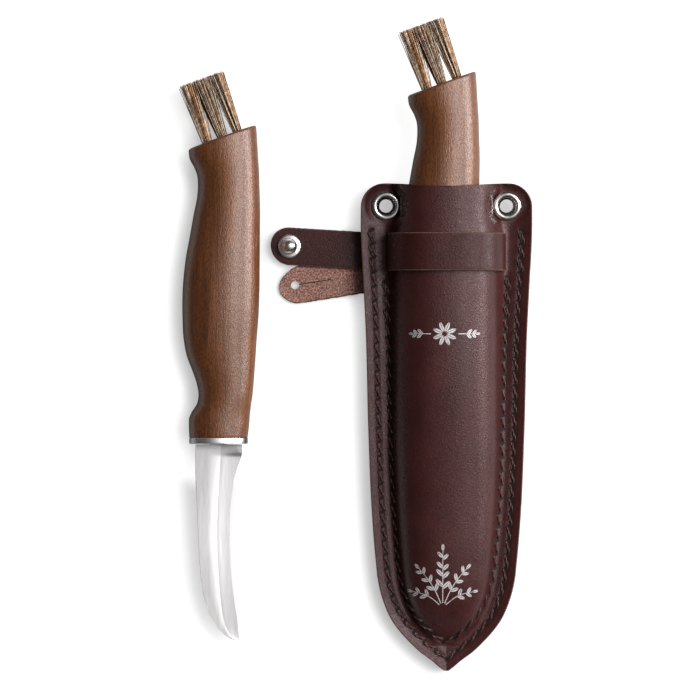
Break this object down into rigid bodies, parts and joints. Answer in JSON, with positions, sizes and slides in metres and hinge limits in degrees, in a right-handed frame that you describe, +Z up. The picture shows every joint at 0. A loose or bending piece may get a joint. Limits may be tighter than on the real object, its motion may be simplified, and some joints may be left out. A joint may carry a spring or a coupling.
{
  "type": "mushroom knife",
  "caption": "Curved-blade mushroom knife with a bristle brush in its butt, lying bare beside a moulded leather sheath that holds the same knife.",
  "frame": {"origin": "middle of the underside of the whole layout's box, on the table", "axes": "+Y from the blades' tips to the brushes, +Z up from the table towards the viewer, +X to the sheath's side"},
  "size_m": [0.1228, 0.2274, 0.0289],
  "materials": {
    "blade_steel": "bright satin blade steel, bare of marks",
    "ferrule_metal": "brushed along the edge",
    "walnut": "stained brown, fine straight grain, waxed",
    "bristle": "natural bristle, mixed blonde, brown and grey strands",
    "leather": "smooth dark reddish-brown grain side, semi-gloss",
    "leather_core": "cut leather edge, matte",
    "suede": "flesh side of the strap, napped and matte",
    "nickel": "polished nickel plate"
  },
  "bodies": {
    "sheath": {"back_panel": "leather", "welt": "leather_core", "front_panel": "leather", "eyelet_left": "nickel", "eyelet_right": "nickel", "eyelet_washer_left": "nickel", "eyelet_washer_right": "nickel", "strap_band": "leather"},
    "strap_stud_end": {"strap_stud_end": "leather", "stud": "nickel", "stud_screw": "nickel"},
    "strap_tongue": {"strap_tongue": "suede"},
    "sheathed_knife": {"sheathed_blade": "blade_steel", "sheathed_ferrule": "ferrule_metal", "sheathed_handle": "walnut", "sheathed_tuft_1": "bristle", "sheathed_tuft_2": "bristle", "sheathed_tuft_3": "bristle", "sheathed_tuft_4": "bristle", "sheathed_tuft_5": "bristle", "sheathed_tuft_6": "bristle"},
    "bare_knife": {"bare_blade": "blade_steel", "bare_ferrule": "ferrule_metal", "bare_handle": "walnut", "bare_tuft_1": "bristle", "bare_tuft_2": "bristle", "bare_tuft_3": "bristle", "bare_tuft_4": "bristle", "bare_tuft_5": "bristle", "bare_tuft_6": "bristle"}
  },
  "joints": [
    {"name": "draw_knife", "type": "slide", "parent": "sheath", "child": "sheathed_knife", "axis": [0, 0.9996, 0.0273], "range_m": [0, 0.15]},
    {"name": "lift_bare_knife", "type": "slide", "parent": "sheath", "child": "bare_knife", "axis": [0, 0, 1], "range_m": [0, 0.06]},
    {"name": "stud_end_fold", "type": "hinge", "parent": "sheath", "child": "strap_stud_end", "pos_m": [-0.00068, 0.03286, 0.0027], "axis": [0, 1, 0], "range_deg": [0, 100]},
    {"name": "tongue_fold", "type": "hinge", "parent": "sheath", "child": "strap_tongue", "pos_m": [-0.00068, 0.0239, 0.0008], "axis": [0, 1, 0], "range_deg": [-70, 0], "stiffness_Nm_per_rad": 0.01}
  ]
}
